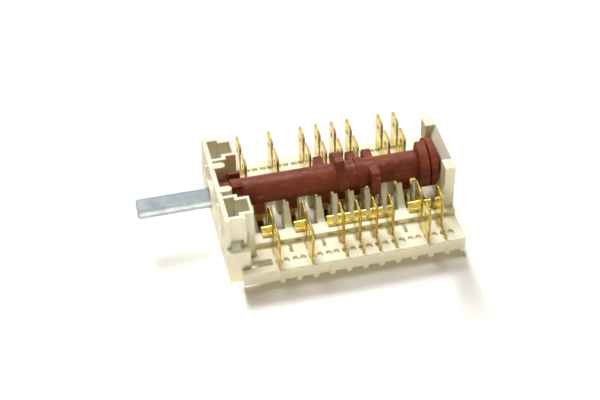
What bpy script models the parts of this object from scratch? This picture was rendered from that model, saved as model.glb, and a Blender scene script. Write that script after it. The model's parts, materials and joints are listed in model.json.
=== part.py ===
"""Oven selector switch: an open frame rotary cam switch with rows of brass blade terminals.

Sizes below are in millimetres. The mesh helpers turn them into metres.
X runs along the shaft from its tip to the rear plate, with X = 0 on the first contact position.
Y = 0 is the plane of the shaft's axis, the near side is -Y, and Z = 0 is the underside of the base.
An empty then moves the whole switch so that the scene's origin is under the middle of it.
"""

from math import acos, atan2, cos, degrees, pi, radians, sin

import bmesh
import bpy

MM = 0.001

# Contact positions, from the front, by the kind of blade on the near side
PITCH = 5.0
NEAR_BLADES = (
    "pair", "none", "pair", "none", "single", "single", "single", "single", "none", "pair", "single",
)

# Clearances
SEAT_GAP = 0.3
RIVET_GAP = 0.15
FOOT_GAP = 0.2
RUNNING_GAP = 0.25

# How far a cut runs past a face, a step back from one, and one that only keeps two faces apart
OVERCUT = 1.0
MARGIN = 0.1
NUDGE = 0.01

# Base moulding
BASE_REAR_X = 57.6
DECK_FRONT_X = -4.0
SKIRT_ARM_FRONT_X = -9.5
TROUGH_REAR_X = -0.2
TROUGH_WIDTH = 2.7
BASE_HALF_WIDTH = 24.7
DECK_TOP_Z = 5.0
DECK_THICKNESS = 1.6
SKIRT_THICKNESS = 1.3
SKIRT_BOTTOM_Z = 0.8
LEDGE_TOP_Z = 6.8
LEDGE_THICKNESS = 1.4
LEDGE_WIDTH = 4.5
LEDGE_WALL = 1.2
CHAMBER_HALF_WIDTH = 9.7
CHAMBER_WALL = 1.5
FLOOR_THICKNESS = 1.4
TONGUE_THICKNESS = 1.2
FRONT_WALL_THICKNESS = 1.7
RIB_WIDTH = 1.6
RIB_PROUD = 0.4
RIB_DROP = 0.4
RIB_OFFSET_X = 2.1

# Dividers between the positions
DIVIDER_THICKNESS = 1.7
DIVIDER_FOOT_THICKNESS = 2.3
DIVIDER_FOOT_TOP_Z = 9.2
DIVIDER_FOOT_LENGTH = 5.5
DIVIDER_FOOT_CHAMFER = 0.9
DIVIDER_SLOPE_LENGTH = 1.4
DIVIDER_SLOPE_OFFSET = 1.4
FINGER_ANGLE = 212.0
FINGER_TIP_RADIUS = 0.7

# Deck details of each position
FOOT_SLOT = (1.1, 3.6)
FOOT_SLOT_OFFSET_Y = 0.4
ANCHOR_POCKET = (1.9, 2.4)
ANCHOR_POCKET_SHIFTS = (0.4, 2.7)
ANCHOR_POCKET_DEPTH = 0.9
LEDGE_WINDOW_WIDTH = 1.6
LEDGE_WINDOW_SHIFT = 2.6
LEDGE_WINDOW_MARGIN_Z = 0.6
LEDGE_WINDOW_DEPTH = 0.8

# Rear plate: two posts with a thinner wall between them, whose top slopes towards the shaft
REAR_POST_DEPTH = 3.2
REAR_POST_Y = 12.6
REAR_POST_WIDTH = 4.3
REAR_TOP_Z = 22.3
REAR_WALL_THICKNESS = 1.7
REAR_SLOPE_HEIGHT = 3.5
REAR_STEP_Z = 15.7
REAR_STEP = 0.5
REAR_POCKET = (1.3, 1.7)
REAR_POCKET_DEPTH = 1.4

# Front bracket
PLATE_FRONT_X = -13.1
PLATE_THICKNESS = 1.4
PLATE_HALF_WIDTH = 19.4
BRACKET_TOP_Z = 22.1
TOWER_WIDE_X = -7.5
TOWER_REAR_X = -4.3
TOWER_INNER_Y = 8.1
TOWER_STEM_INNER_Y = 9.6
TOWER_STEM_OUTER_Y = 17.2
TOWER_RECESS = 0.8
PILASTER_REAR_X = -7.0
PILASTER_WIDTH = 0.9
TOWER_WALL = 1.1
TOWER_STEM_WALL = 0.8
POCKET_FLOOR_Z = 8.0
BLOCK_PROUD = 2.5
BLOCK_TOP_Z = 11.6
BLOCK_REAR_X = -6.6
BLOCK_LIP = 1.6
WINDOW_LOW_Z = 9.2
WINDOW_HIGH_Z = 13.5
POST_LENGTH = 3.3
POST_WIDTH = 2.4
POST_TOP_Z = 22.4
HUB_RADIUS = 5.0
HUB_LENGTH = 1.3
FIXING_HOLE_RADIUS = 2.1
FIXING_HOLE_Y = 14.0
FACE_RIB_WIDTH = 1.3
FACE_RIB_PROUD = 0.6
FACE_RIB_Y = 9.0
FACE_RIB_LOW_Z = 3.0
FACE_RIB_BELOW_TOP = 2.0

# Shaft and camshaft
AXIS_Z = 15.3
SHAFT_RADIUS = 3.0
SHAFT_FLAT_HEIGHT = 1.6
SHAFT_TIP_X = -36.1
SHAFT_TIP_CHAMFER = 0.5
SHAFT_SOCKET_X = -1.0
CORE_RADIUS = 4.25
CORE_TAPER = 0.5
JOURNAL_RADIUS = 4.0
WHEEL_X = (-8.1, -4.7)
WHEEL_RADIUS = 6.6
WHEEL_ROOT_RADIUS = 5.2
WHEEL_NOTCHES = 8
WHEEL_NOTCH_DEG = 22.0
LOBE_RADIUS = 7.4
LOBE_WIDTH = 2.6
LOBE_RAMP_DEG = 32.0
RING_RADIUS = 4.8
REAR_LOBE_X = (48.9, 51.6)
REAR_LOBE_DEG = (162, 84)
END_DISC_X = (52.2, 54.3)
END_DISC_RADIUS = 7.4
END_DISC_CHAMFER = 0.4
GROOVE_RADIUS = 5.6
REAR_SHOULDER_RADIUS = 4.2
REAR_JOURNAL_RADIUS = 2.4

# Lobes of each track: middle angle and half span in degrees, from +Y turning towards +Z
LOBES = {
    0: ((262, 34),),
    2: ((268, 30),),
    4: ((8, 20), (262, 26)),
    5: ((60, 44), (275, 26)),
    6: ((6, 22), (280, 22)),
    7: ((6, 20), (184, 38)),
    9: ((265, 26),),
}

# Low rings round the core, as distances along the shaft in pitches
RINGS = ((4.8, 5.4), (6.0, 6.48))

# Brass blades
BLADE_THICKNESS = 0.8
BLADE_WIDTH = 6.3
BLADE_TIP_Z = 17.3
BLADE_SHOULDER = 0.8
BLADE_HOLE_RADIUS = 0.85
BLADE_HOLE_BELOW_TIP = 3.5
BLADE_OFFSET_X = 1.4
SINGLE_BLADE_OFFSET_X = 1.8
BLADE_EDGE_MARGIN = 0.15
SINGLE_BLADE_SHIFT = 1.9
BRIDGE_TOP_Z = 8.0
SINGLE_NECK_HEIGHT = 1.4
SINGLE_FOOT_HEIGHT = 1.4
SINGLE_FOOT_MARGIN = 0.8

# Strips that lead from the blades into the chamber
STRIP_THICKNESS = 0.4
STRIP_WIDTH = 2.2
HOOK_RISE = 1.5
HOOK_CROWN_RADIUS = 0.55
HOOK_WALL_GAP = 0.4
HOOK_BOTTOM_Z = 5.8
STRIP_ROOT_LENGTH = 2.5
STRIP_TAB_LENGTH = 1.3
STRIP_BEND_RADIUS = 0.6
FIXED_FOOT_END_Y = 3.9

# Contact arms and rivets
ARM_THICKNESS = 0.4
ARM_WIDTH = 2.1
ARM_ROOT_TOP_Z = 7.3
ARM_PIVOT_Z = 5.6
ARM_TIP_Y = 6.2
ARM_BEND = (0.9, 0.6)
HUMP_HALF_WIDTH = 0.6
HUMP_FOOT_Y = 2.2
HUMP_SLOPE = 0.5
CONTACT_Y = 5.1
CONTACT_RADIUS = 1.0
CONTACT_HEIGHT = 0.6
CONTACT_TRAVEL = 0.75

# Click mechanism
PLUNGER_X = -6.4
PLUNGER_RADIUS = 1.25
PLUNGER_NOSE_RADIUS = 0.7
PLUNGER_NOSE_LENGTH = 1.4
PLUNGER_CHAMFER = 0.15
PLUNGER_BACK_Y = 11.2
SPRING_RADIUS = 0.95
SPRING_WIRE_RADIUS = 0.22
SPRING_TURNS = 4

# Values that follow from the ones above
POSITIONS = len(NEAR_BLADES)
FITTED_POSITIONS = tuple(i for i in range(POSITIONS) if NEAR_BLADES[i] != "none")
PLATE_BACK_X = PLATE_FRONT_X + PLATE_THICKNESS
BLOCK_OUTER_Y = PLATE_HALF_WIDTH + BLOCK_PROUD
PILASTER_FRONT_X = PILASTER_REAR_X - PILASTER_WIDTH
REAR_POST_X = BASE_REAR_X - REAR_POST_DEPTH
REAR_POST_INNER_Y = REAR_POST_Y - REAR_POST_WIDTH
REAR_WALL_X = BASE_REAR_X - REAR_WALL_THICKNESS
TROUGH_OUTER_Y = BLOCK_OUTER_Y + SEAT_GAP
LEDGE_OUTER_Y = CHAMBER_HALF_WIDTH + LEDGE_WIDTH
UNDER_BLADE_LEDGE_Z = LEDGE_TOP_Z + SEAT_GAP
UNDER_BLADE_DECK_Z = DECK_TOP_Z + SEAT_GAP
OUTER_BLADE_Y = BASE_HALF_WIDTH - BLADE_EDGE_MARGIN - BLADE_WIDTH / 2
INNER_BLADE_Y = CHAMBER_HALF_WIDTH + BLADE_EDGE_MARGIN + BLADE_WIDTH / 2
SINGLE_BLADE_Y = LEDGE_OUTER_Y + SINGLE_BLADE_SHIFT
HUMP_TOP_Z = AXIS_Z - LOBE_RADIUS - SEAT_GAP
STRIP_Z = UNDER_BLADE_LEDGE_Z + STRIP_THICKNESS / 2
STRIP_ROOT_Y = CHAMBER_HALF_WIDTH + STRIP_ROOT_LENGTH
HOOK_Y = CHAMBER_HALF_WIDTH - HOOK_WALL_GAP - STRIP_THICKNESS / 2
HOOK_INNER_Y = HOOK_Y - STRIP_THICKNESS / 2
ARM_PIVOT_Y = HOOK_INNER_Y - SEAT_GAP - ARM_THICKNESS / 2
FIXED_FOOT_Z = FLOOR_THICKNESS + SEAT_GAP + STRIP_THICKNESS / 2
FIXED_CONTACT_Z = FIXED_FOOT_Z + STRIP_THICKNESS / 2 + FOOT_GAP
MOVING_CONTACT_Z = FIXED_CONTACT_Z + 2 * CONTACT_HEIGHT + CONTACT_TRAVEL
ARM_LOW_Z = MOVING_CONTACT_Z + RIVET_GAP + ARM_THICKNESS / 2
MIDDLE_X = (SHAFT_TIP_X + BASE_REAR_X) / 2


def track_x(position):
    """The middle of a contact position along the shaft."""
    return PITCH * position


def clear_scene():
    for item in list(bpy.data.objects):
        bpy.data.objects.remove(item, do_unlink=True)


def make_material(name, colour, roughness, metallic=0.0):
    material = bpy.data.materials.new(name)
    material.use_nodes = True
    shader = material.node_tree.nodes["Principled BSDF"]
    shader.inputs["Base Color"].default_value = (*colour, 1.0)
    shader.inputs["Roughness"].default_value = roughness
    shader.inputs["Metallic"].default_value = metallic
    return material


# Mesh helpers

def place(point, height, axis):
    """A point of an outline, at a height along the axis it is extruded on, in metres."""
    a, b = point
    spots = {"X": (height, a, b), "Y": (a, height, b), "Z": (a, b, height)}
    return tuple(value * MM for value in spots[axis])


def prism(outline, axis, low, high):
    """A closed solid with a flat outline, extruded along an axis."""
    mesh = bmesh.new()
    bottom = [mesh.verts.new(place(point, low, axis)) for point in outline]
    top = [mesh.verts.new(place(point, high, axis)) for point in outline]
    mesh.faces.new(bottom)
    mesh.faces.new(top)
    for index in range(len(outline)):
        following = (index + 1) % len(outline)
        mesh.faces.new((bottom[index], bottom[following], top[following], top[index]))
    bmesh.ops.recalc_face_normals(mesh, faces=mesh.faces)
    return mesh


def box(low, high):
    outline = ((low[0], low[1]), (high[0], low[1]), (high[0], high[1]), (low[0], high[1]))
    return prism(outline, "Z", low[2], high[2])


def arc(centre, radius, start, end, steps):
    """Points on an arc, angles in degrees."""
    points = []
    for step in range(steps + 1):
        angle = radians(start + (end - start) * step / steps)
        points.append((centre[0] + radius * cos(angle), centre[1] + radius * sin(angle)))
    return points


def circle(centre, radius, sides):
    return arc(centre, radius, 0, 360, sides)[:-1]


def rod(axis, centre, radius, low, high, sides=24):
    """A round bar along an axis through a point of the plane across it."""
    return prism(circle(centre, radius, sides), axis, low, high)


def turned(profile, axis, centre, sides=24):
    """A solid turned round an axis. The profile lists (place along the axis, radius)."""
    mesh = bmesh.new()
    rings = []
    for along, radius in profile:
        rings.append([mesh.verts.new(place(p, along, axis)) for p in circle(centre, radius, sides)])
    mesh.faces.new(rings[0])
    mesh.faces.new(rings[-1])
    for first, second in zip(rings, rings[1:]):
        for index in range(sides):
            following = (index + 1) % sides
            mesh.faces.new((first[index], first[following], second[following], second[index]))
    bmesh.ops.recalc_face_normals(mesh, faces=mesh.faces)
    return mesh


def band(path, thickness):
    """The outline of a bent strip of even thickness along a path."""
    left, right = [], []
    for index, (a, b) in enumerate(path):
        before = path[max(index - 1, 0)]
        after = path[min(index + 1, len(path) - 1)]
        turn_in = atan2(b - before[1], a - before[0]) if index else None
        turn_out = atan2(after[1] - b, after[0] - a) if index < len(path) - 1 else turn_in
        turn_in = turn_out if turn_in is None else turn_in
        half_turn = ((turn_out - turn_in + pi) % (2 * pi) - pi) / 2
        across = turn_in + half_turn + pi / 2
        reach = thickness / 2 / max(cos(half_turn), 0.4)
        left.append((a + reach * cos(across), b + reach * sin(across)))
        right.append((a - reach * cos(across), b - reach * sin(across)))
    return left + right[::-1]


def mirrored(outline):
    """The same outline on the other side of the shaft."""
    return [(-a, b) for a, b in reversed(outline)]


def gather(pieces):
    """Several closed solids that don't meet, in one mesh."""
    mesh = bmesh.new()
    for piece in pieces:
        carrier = bpy.data.meshes.new("carrier")
        piece.to_mesh(carrier)
        mesh.from_mesh(carrier)
        bpy.data.meshes.remove(carrier)
    return mesh


def helper_object(mesh, name):
    data = bpy.data.meshes.new(name)
    mesh.to_mesh(data)
    mesh.free()
    item = bpy.data.objects.new(name, data)
    bpy.context.scene.collection.objects.link(item)
    return item


def shaped(name, start, steps):
    """Joins and cuts a solid in order and returns the finished mesh."""
    body = helper_object(start, name)
    tools = []
    for operation, mesh in steps:
        tool = helper_object(mesh, name + "_tool")
        tool.hide_render = True
        tool.display_type = "WIRE"
        tools.append(tool)
        modifier = body.modifiers.new(operation.lower(), "BOOLEAN")
        modifier.operation = operation
        modifier.solver = "EXACT"
        modifier.object = tool
    view = body.evaluated_get(bpy.context.evaluated_depsgraph_get())
    finished = bpy.data.meshes.new_from_object(view)
    finished.name = name
    for item in tools + [body]:
        bpy.data.objects.remove(item, do_unlink=True)
    return finished


def smooth(data, angle=35):
    data.shade_smooth()
    data.set_sharp_from_angle(angle=radians(angle))
    return data


def add_node(name, data, material, frame, location=(0.0, 0.0, 0.0), turn_z=0.0):
    """Puts a mesh in the scene as one named sub-part."""
    if not data.materials:
        data.materials.append(material)
    item = bpy.data.objects.new(name, data)
    bpy.context.scene.collection.objects.link(item)
    item.parent = frame
    item.location = tuple(value * MM for value in location)
    item.rotation_euler = (0.0, 0.0, turn_z)
    return item


def moved(data, offset):
    """Shifts a mesh against its origin, so that the origin can sit on a joint's axis."""
    for vertex in data.vertices:
        vertex.co.x -= offset[0] * MM
        vertex.co.y -= offset[1] * MM
        vertex.co.z -= offset[2] * MM
    return data


# Base housing

def base_section():
    """Half of the section across the base, from the chamber floor out to the skirt."""
    wall_outer = CHAMBER_HALF_WIDTH + CHAMBER_WALL
    step_inner = LEDGE_OUTER_Y - LEDGE_WALL
    under_deck = DECK_TOP_Z - DECK_THICKNESS
    under_ledge = LEDGE_TOP_Z - LEDGE_THICKNESS
    skirt_inner = BASE_HALF_WIDTH - SKIRT_THICKNESS
    return [
        (wall_outer, 0.0),
        (wall_outer, under_ledge),
        (step_inner, under_ledge),
        (step_inner, under_deck),
        (skirt_inner, under_deck),
        (skirt_inner, SKIRT_BOTTOM_Z),
        (BASE_HALF_WIDTH, SKIRT_BOTTOM_Z),
        (BASE_HALF_WIDTH, DECK_TOP_Z),
        (LEDGE_OUTER_Y, DECK_TOP_Z),
        (LEDGE_OUTER_Y, LEDGE_TOP_Z),
        (CHAMBER_HALF_WIDTH, LEDGE_TOP_Z),
        (CHAMBER_HALF_WIDTH, FLOOR_THICKNESS),
    ]


def base_channel():
    half = base_section()
    return prism(half + mirrored(half), "X", DECK_FRONT_X, BASE_REAR_X)


def wall_line(inner, rise, sink):
    """A divider's outline from inside the chamber wall along the floor to its inner edge, and back."""
    buried = CHAMBER_HALF_WIDTH + CHAMBER_WALL * sink
    floor = [(-buried, FLOOR_THICKNESS * sink), (-inner, FLOOR_THICKNESS * sink), (-inner, rise)]
    top = LEDGE_TOP_Z - SEAT_GAP * sink
    return floor, [(SEAT_GAP - CHAMBER_HALF_WIDTH, top), (-buried, top)]


def divider_outline(side):
    """The wall between two positions, with a finger that ends just off the camshaft's rings."""
    reach = RING_RADIUS + RUNNING_GAP + FINGER_TIP_RADIUS
    tip = (reach * cos(radians(FINGER_ANGLE)), AXIS_Z + reach * sin(radians(FINGER_ANGLE)))
    inner = CHAMBER_HALF_WIDTH - DIVIDER_FOOT_LENGTH - FINGER_TIP_RADIUS
    slope_foot = CHAMBER_HALF_WIDTH - DIVIDER_SLOPE_OFFSET + SEAT_GAP
    start, end = wall_line(inner, DIVIDER_FOOT_TOP_Z - DIVIDER_FOOT_CHAMFER, 1 / 2)
    slope = [
        (DIVIDER_SLOPE_LENGTH - slope_foot, DIVIDER_FOOT_TOP_Z + FINGER_TIP_RADIUS),
        (-slope_foot, LEDGE_TOP_Z + FINGER_TIP_RADIUS),
    ]
    outline = start + arc(tip, FINGER_TIP_RADIUS, -58, 122, 4) + slope + end
    return outline if side < 0 else mirrored(outline)


def divider_foot_outline(side):
    """The thicker lower part of the wall, with a sloping top."""
    inner = CHAMBER_HALF_WIDTH - DIVIDER_FOOT_LENGTH
    slope_foot = CHAMBER_HALF_WIDTH - DIVIDER_SLOPE_OFFSET
    start, end = wall_line(inner, DIVIDER_FOOT_TOP_Z - DIVIDER_FOOT_CHAMFER, 1 / 3)
    slope = [
        (-inner - DIVIDER_FOOT_CHAMFER, DIVIDER_FOOT_TOP_Z),
        (DIVIDER_SLOPE_LENGTH - slope_foot, DIVIDER_FOOT_TOP_Z),
        (-slope_foot, LEDGE_TOP_Z + SEAT_GAP),
    ]
    outline = start + slope + end
    return outline if side < 0 else mirrored(outline)


def divider_pieces(thickness, outline_of):
    pieces = []
    for position in range(POSITIONS - 1):
        middle = track_x(position) + PITCH / 2
        for side in (-1, 1):
            outline = outline_of(side)
            pieces.append(prism(outline, "X", middle - thickness / 2, middle + thickness / 2))
    return gather(pieces)


def side_box(side, x_range, y_range, z_range):
    """A box on the near side (-1) or the far side (1), with distances from the shaft's plane."""
    low_y, high_y = sorted((side * y_range[0], side * y_range[1]))
    return box((x_range[0], low_y, z_range[0]), (x_range[1], high_y, z_range[1]))


def rib_pieces():
    """Upright ribs on the skirts, one for each position and one at the rear end."""
    pieces = []
    y_range = (BASE_HALF_WIDTH - SKIRT_THICKNESS / 2, BASE_HALF_WIDTH + RIB_PROUD)
    for position in range(POSITIONS + 1):
        middle = track_x(position) + RIB_OFFSET_X
        x_range = (middle - RIB_WIDTH / 2, min(middle + RIB_WIDTH / 2, BASE_REAR_X - SEAT_GAP))
        for side in (-1, 1):
            pieces.append(side_box(side, x_range, y_range, (0.0, DECK_TOP_Z - RIB_DROP)))
    return gather(pieces)


def deck_cuts():
    """Foot slots through the deck, shallow anchor pockets, and windows in the ledge's step."""
    pieces = []
    slot_inner = LEDGE_OUTER_Y + FOOT_SLOT_OFFSET_Y
    slot_y = (slot_inner, slot_inner + FOOT_SLOT[1])
    window_y = (LEDGE_OUTER_Y - LEDGE_WINDOW_DEPTH, LEDGE_OUTER_Y + SEAT_GAP)
    window_z = (DECK_TOP_Z + SEAT_GAP / 2, LEDGE_TOP_Z - LEDGE_WINDOW_MARGIN_Z)
    for position in range(POSITIONS):
        for side in (-1, 1):
            middle = track_x(position) - side * BLADE_OFFSET_X
            slot_x = (middle - FOOT_SLOT[0] / 2, middle + FOOT_SLOT[0] / 2)
            pieces.append(side_box(side, slot_x, slot_y, (SKIRT_BOTTOM_Z, DECK_TOP_Z + OVERCUT)))
            for shift in ANCHOR_POCKET_SHIFTS:
                pieces.append(anchor_pocket(middle - side * shift, side))
            window = middle - side * LEDGE_WINDOW_SHIFT
            window_x = (window - LEDGE_WINDOW_WIDTH / 2, window + LEDGE_WINDOW_WIDTH / 2)
            pieces.append(side_box(side, window_x, window_y, window_z))
    return gather(pieces)


def anchor_pocket(middle, side):
    """A shallow pocket under an outer blade, straight at its outer end and round at the other."""
    half_width, half_length = ANCHOR_POCKET[0] / 2, ANCHOR_POCKET[1] / 2
    outer_y = side * (OUTER_BLADE_Y + half_length / 2)
    centre_y = side * (OUTER_BLADE_Y - half_length / 2)
    outline = [(middle + half_width, outer_y), (middle - half_width, outer_y)]
    round_end = arc((middle, centre_y), half_width, 180, 360 if side > 0 else 0, 3)
    return prism(outline + round_end, "Z", DECK_TOP_Z - ANCHOR_POCKET_DEPTH, DECK_TOP_Z + OVERCUT)


def front_end_pieces():
    """The floor's tongue, the chamber's front wall, and beside each tower a skirt arm and a deck tongue."""
    tongue_half = TOWER_INNER_Y - SEAT_GAP
    wall_half = CHAMBER_HALF_WIDTH + CHAMBER_WALL * 2 / 3
    wall_rear = DECK_FRONT_X + FRONT_WALL_THICKNESS
    pieces = [
        box((PLATE_BACK_X + SEAT_GAP, -tongue_half, 0.0),
            (wall_rear - SEAT_GAP, tongue_half, TONGUE_THICKNESS)),
        box((DECK_FRONT_X + MARGIN, -wall_half, SEAT_GAP), (wall_rear, wall_half, LEDGE_TOP_Z - SEAT_GAP)),
    ]
    arm_x = (SKIRT_ARM_FRONT_X, DECK_FRONT_X + SEAT_GAP)
    deck_x = (BLOCK_REAR_X + SEAT_GAP, DECK_FRONT_X + SEAT_GAP)
    deck_y = (TOWER_STEM_OUTER_Y + SEAT_GAP, TROUGH_OUTER_Y + SEAT_GAP)
    arm_y = (TROUGH_OUTER_Y, BASE_HALF_WIDTH)
    for side in (-1, 1):
        pieces.append(side_box(side, arm_x, arm_y, (SKIRT_BOTTOM_Z, DECK_TOP_Z)))
        pieces.append(side_box(side, deck_x, deck_y, (DECK_TOP_Z - DECK_THICKNESS, DECK_TOP_Z - NUDGE)))
    return pieces


def troughs():
    """The open trough between the deck and each skirt arm."""
    x_range = (BLOCK_REAR_X - SEAT_GAP, TROUGH_REAR_X)
    y_range = (TROUGH_OUTER_Y - TROUGH_WIDTH, TROUGH_OUTER_Y)
    return gather([side_box(side, x_range, y_range, (0.0, DECK_TOP_Z + OVERCUT)) for side in (-1, 1)])


def rear_plate():
    half_outline = [(REAR_POST_Y, FLOOR_THICKNESS / 2), (REAR_POST_Y, REAR_TOP_Z)]
    return prism(half_outline + mirrored(half_outline), "X", REAR_POST_X, BASE_REAR_X - NUDGE)


def rear_cuts():
    """The rear plate's cuts: its sloped middle, the bearing hole, the posts' steps and a pocket."""
    slope_foot_z = REAR_TOP_Z - REAR_SLOPE_HEIGHT
    middle_outline = [
        (REAR_POST_X - OVERCUT, FLOOR_THICKNESS),
        (REAR_WALL_X, FLOOR_THICKNESS),
        (REAR_WALL_X, slope_foot_z),
        (BASE_REAR_X, REAR_TOP_Z),
        (BASE_REAR_X, REAR_TOP_Z + OVERCUT),
        (REAR_POST_X - OVERCUT, REAR_TOP_Z + OVERCUT),
    ]
    middle = prism(middle_outline, "Y", -REAR_POST_INNER_Y, REAR_POST_INNER_Y)
    bore_radius = REAR_JOURNAL_RADIUS + RUNNING_GAP
    bore = rod("X", (0.0, AXIS_Z), bore_radius, REAR_WALL_X - OVERCUT, BASE_REAR_X + OVERCUT)
    step_x = (REAR_POST_X - OVERCUT, BASE_REAR_X + OVERCUT)
    step_y = (REAR_POST_Y - REAR_STEP, REAR_POST_Y + OVERCUT)
    steps = gather([side_box(side, step_x, step_y, (LEDGE_TOP_Z, REAR_STEP_Z)) for side in (-1, 1)])
    pocket_rear = BASE_REAR_X - SEAT_GAP
    pocket_outer = REAR_POST_INNER_Y - SEAT_GAP
    pocket_low = REAR_TOP_Z - REAR_SLOPE_HEIGHT / 2 - REAR_POCKET_DEPTH
    pocket = side_box(-1, (pocket_rear - REAR_POCKET[0], pocket_rear),
                      (pocket_outer - REAR_POCKET[1], pocket_outer), (pocket_low, REAR_TOP_Z + OVERCUT))
    return middle, bore, steps, pocket


def build_base():
    steps = [("UNION", piece) for piece in front_end_pieces()]
    steps += [
        ("UNION", rear_plate()),
        ("UNION", divider_pieces(DIVIDER_FOOT_THICKNESS, divider_foot_outline)),
        ("UNION", divider_pieces(DIVIDER_THICKNESS, divider_outline)),
        ("UNION", rib_pieces()),
        ("DIFFERENCE", deck_cuts()),
        ("DIFFERENCE", troughs()),
    ]
    steps += [("DIFFERENCE", piece) for piece in rear_cuts()]
    return smooth(shaped("base_housing", base_channel(), steps))


# Front bracket

def tower_outline(side):
    """The T shaped tower seen from above, with a recess between the plate's edge and a pilaster."""
    inside_plate = PLATE_BACK_X - PLATE_THICKNESS / 3
    recess_y = PLATE_HALF_WIDTH - TOWER_RECESS
    outline = [
        (inside_plate, TOWER_INNER_Y),
        (TOWER_WIDE_X, TOWER_INNER_Y),
        (TOWER_WIDE_X, TOWER_STEM_INNER_Y),
        (TOWER_REAR_X, TOWER_STEM_INNER_Y),
        (TOWER_REAR_X, TOWER_STEM_OUTER_Y),
        (PILASTER_REAR_X, TOWER_STEM_OUTER_Y),
        (PILASTER_REAR_X, PLATE_HALF_WIDTH),
        (PILASTER_FRONT_X, PLATE_HALF_WIDTH),
        (PILASTER_FRONT_X, recess_y),
        (inside_plate, recess_y),
    ]
    return [(x, side * y) for x, y in outline]


def pocket_outline(side):
    """The open pocket in the top of a tower, T shaped as well."""
    stem_rear = TOWER_REAR_X - TOWER_STEM_WALL
    outline = [
        (PLATE_BACK_X, TOWER_INNER_Y + TOWER_WALL),
        (TOWER_WIDE_X - TOWER_WALL, TOWER_INNER_Y + TOWER_WALL),
        (TOWER_WIDE_X - TOWER_WALL, TOWER_STEM_INNER_Y + TOWER_WALL),
        (stem_rear, TOWER_STEM_INNER_Y + TOWER_WALL),
        (stem_rear, TOWER_STEM_OUTER_Y - TOWER_WALL),
        (TOWER_WIDE_X - TOWER_WALL, TOWER_STEM_OUTER_Y - TOWER_WALL),
        (TOWER_WIDE_X - TOWER_WALL, PLATE_HALF_WIDTH - TOWER_RECESS - TOWER_WALL),
        (PLATE_BACK_X, PLATE_HALF_WIDTH - TOWER_RECESS - TOWER_WALL),
    ]
    return [(x, side * y) for x, y in outline]


def post_outline(side):
    """A bearing post with a rounded end, seen from above."""
    middle = side * (JOURNAL_RADIUS + RUNNING_GAP + POST_WIDTH / 2)
    inside_plate = PLATE_BACK_X - PLATE_THICKNESS / 3
    centre = (PLATE_BACK_X + POST_LENGTH - POST_WIDTH / 2, middle)
    rounded = arc(centre, POST_WIDTH / 2, -90, 90, 8)
    return [(inside_plate, middle - POST_WIDTH / 2)] + rounded + [(inside_plate, middle + POST_WIDTH / 2)]


def bracket_side(side):
    """The joins and cuts of one tower with its block, post, window and plunger hole."""
    tower = prism(tower_outline(side), "Z", 0.0, BRACKET_TOP_Z - NUDGE)
    block = side_box(side, (PLATE_FRONT_X + NUDGE, BLOCK_REAR_X),
                     (TOWER_STEM_OUTER_Y - SEAT_GAP, BLOCK_OUTER_Y), (NUDGE, BLOCK_TOP_Z))
    post = prism(post_outline(side), "Z", FLOOR_THICKNESS + SEAT_GAP, POST_TOP_Z)
    face_rib = side_box(side, (PLATE_FRONT_X - FACE_RIB_PROUD, PLATE_BACK_X - PLATE_THICKNESS / 2),
                        (FACE_RIB_Y - FACE_RIB_WIDTH / 2, FACE_RIB_Y + FACE_RIB_WIDTH / 2),
                        (FACE_RIB_LOW_Z, BRACKET_TOP_Z - FACE_RIB_BELOW_TOP))
    pocket = prism(pocket_outline(side), "Z", POCKET_FLOOR_Z, BRACKET_TOP_Z + OVERCUT)
    pocket_outer = PLATE_HALF_WIDTH - TOWER_RECESS - TOWER_WALL
    window = side_box(side, (PLATE_BACK_X + MARGIN, PILASTER_FRONT_X - MARGIN),
                      (pocket_outer - TOWER_WALL / 2, BLOCK_OUTER_Y - BLOCK_LIP),
                      (WINDOW_LOW_Z, WINDOW_HIGH_Z))
    guide_inner_y = TOWER_INNER_Y - OVERCUT / 2
    guide_outer_y = TOWER_STEM_INNER_Y + TOWER_WALL + OVERCUT / 2
    guide_y = sorted((side * guide_inner_y, side * guide_outer_y))
    guide = rod("Y", (PLUNGER_X, AXIS_Z), PLUNGER_RADIUS + RUNNING_GAP / 2, guide_y[0], guide_y[1])
    fixing = rod("X", (side * FIXING_HOLE_Y, AXIS_Z), FIXING_HOLE_RADIUS,
                 PLATE_FRONT_X - OVERCUT, PLATE_BACK_X + OVERCUT / 2)
    joins = [("UNION", tower), ("UNION", block), ("UNION", post), ("UNION", face_rib)]
    cuts = [("DIFFERENCE", pocket), ("DIFFERENCE", window), ("DIFFERENCE", guide), ("DIFFERENCE", fixing)]
    return joins, cuts


def build_bracket():
    plate = box((PLATE_FRONT_X, -PLATE_HALF_WIDTH, 0.0), (PLATE_BACK_X, PLATE_HALF_WIDTH, BRACKET_TOP_Z))
    near_joins, near_cuts = bracket_side(-1)
    far_joins, far_cuts = bracket_side(1)
    hub = rod("X", (0.0, AXIS_Z), HUB_RADIUS, PLATE_FRONT_X - HUB_LENGTH, PLATE_BACK_X - SEAT_GAP, 32)
    bore = rod("X", (0.0, AXIS_Z), SHAFT_RADIUS + RUNNING_GAP,
               PLATE_FRONT_X - HUB_LENGTH - OVERCUT, PLATE_BACK_X + OVERCUT, 32)
    steps = near_joins + far_joins + [("UNION", hub)] + near_cuts + far_cuts + [("DIFFERENCE", bore)]
    return smooth(shaped("front_bracket", plate, steps))


# Shaft and camshaft

def shaft_outline(clearance=0.0):
    """A round section with one flat on top, across the shaft's own axis."""
    radius = SHAFT_RADIUS + clearance
    height = SHAFT_FLAT_HEIGHT + clearance
    edge = degrees(acos(height / radius))
    return arc((0.0, 0.0), radius, 90 + edge, 450 - edge, 22)


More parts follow.
